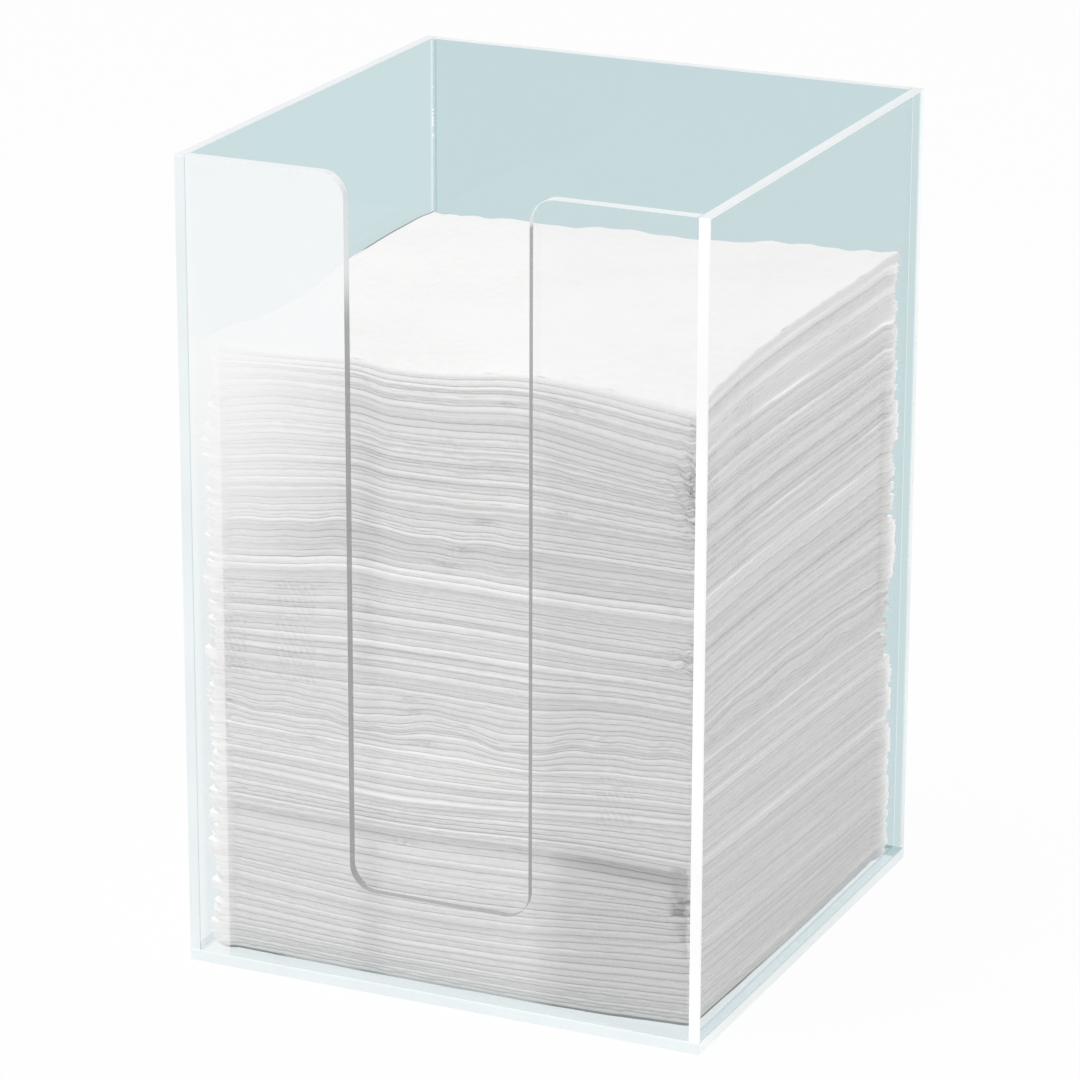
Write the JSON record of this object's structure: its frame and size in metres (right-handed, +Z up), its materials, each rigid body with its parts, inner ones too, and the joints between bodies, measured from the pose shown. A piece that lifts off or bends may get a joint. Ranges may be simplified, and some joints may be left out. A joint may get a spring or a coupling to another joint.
{
  "type": "napkin holder",
  "caption": "Open-topped clear acrylic box with a finger slot down its front, holding a loose stack of folded paper napkins.",
  "frame": {"origin": "centre of the footprint, on the underside of the base", "axes": "+Z up, -Y out of the slotted front, +X to the right of someone who faces the front"},
  "size_m": [0.14, 0.14, 0.21],
  "materials": {
    "acrylic": "polished",
    "cement": "gloss",
    "paper": "matte"
  },
  "bodies": {
    "holder": {"base_panel": "acrylic", "left_panel": "acrylic", "right_panel": "acrylic", "front_panel": "acrylic", "back_panel": "acrylic", "seam_front_left": "cement", "seam_front_right": "cement", "seam_back_left": "cement", "seam_back_right": "cement", "seam_base": "cement"},
    "napkin_pack_1": {"napkins_01": "paper", "napkins_02": "paper", "napkins_03": "paper", "napkins_04": "paper", "napkins_05": "paper", "napkins_06": "paper", "napkins_07": "paper", "napkins_08": "paper", "napkins_09": "paper", "napkins_10": "paper", "napkins_11": "paper"},
    "napkin_pack_2": {"napkins_12": "paper", "napkins_13": "paper", "napkins_14": "paper", "napkins_15": "paper", "napkins_16": "paper", "napkins_17": "paper", "napkins_18": "paper"},
    "napkin_pack_3": {"napkins_19": "paper", "napkins_20": "paper", "napkins_21": "paper", "napkins_22": "paper", "napkins_23": "paper", "napkins_24": "paper"},
    "napkin_pack_4": {"napkins_25": "paper", "napkins_26": "paper", "napkins_27": "paper", "napkins_28": "paper", "napkins_29": "paper", "napkins_30": "paper", "napkins_31": "paper", "napkins_32": "paper", "napkins_33": "paper"},
    "napkin_pack_5": {"napkins_34": "paper", "napkins_35": "paper", "napkins_36": "paper", "napkins_37": "paper", "napkins_38": "paper", "napkins_39": "paper", "napkins_40": "paper", "napkins_41": "paper", "napkins_42": "paper", "napkins_43": "paper", "napkins_44": "paper", "napkins_45": "paper"},
    "napkin_pack_6": {"napkins_46": "paper", "napkins_47": "paper", "napkins_48": "paper"},
    "top_napkin": {"top_napkin": "paper"}
  },
  "joints": [
    {"name": "lift_pack_1", "type": "slide", "parent": "holder", "child": "napkin_pack_1", "axis": [0, 0, 1], "range_m": [0, 0.21]},
    {"name": "lift_pack_2", "type": "slide", "parent": "napkin_pack_1", "child": "napkin_pack_2", "axis": [0, 0, 1], "range_m": [0, 0.174]},
    {"name": "lift_pack_3", "type": "slide", "parent": "napkin_pack_2", "child": "napkin_pack_3", "axis": [0, 0, 1], "range_m": [0, 0.151]},
    {"name": "lift_pack_4", "type": "slide", "parent": "napkin_pack_3", "child": "napkin_pack_4", "axis": [0, 0, 1], "range_m": [0, 0.132]},
    {"name": "lift_pack_5", "type": "slide", "parent": "napkin_pack_4", "child": "napkin_pack_5", "axis": [0, 0, 1], "range_m": [0, 0.102]},
    {"name": "lift_pack_6", "type": "slide", "parent": "napkin_pack_5", "child": "napkin_pack_6", "axis": [0, 0, 1], "range_m": [0, 0.063]},
    {"name": "lift_top_napkin", "type": "slide", "parent": "napkin_pack_6", "child": "top_napkin", "axis": [0, 0, 1], "range_m": [0, 0.054]}
  ]
}
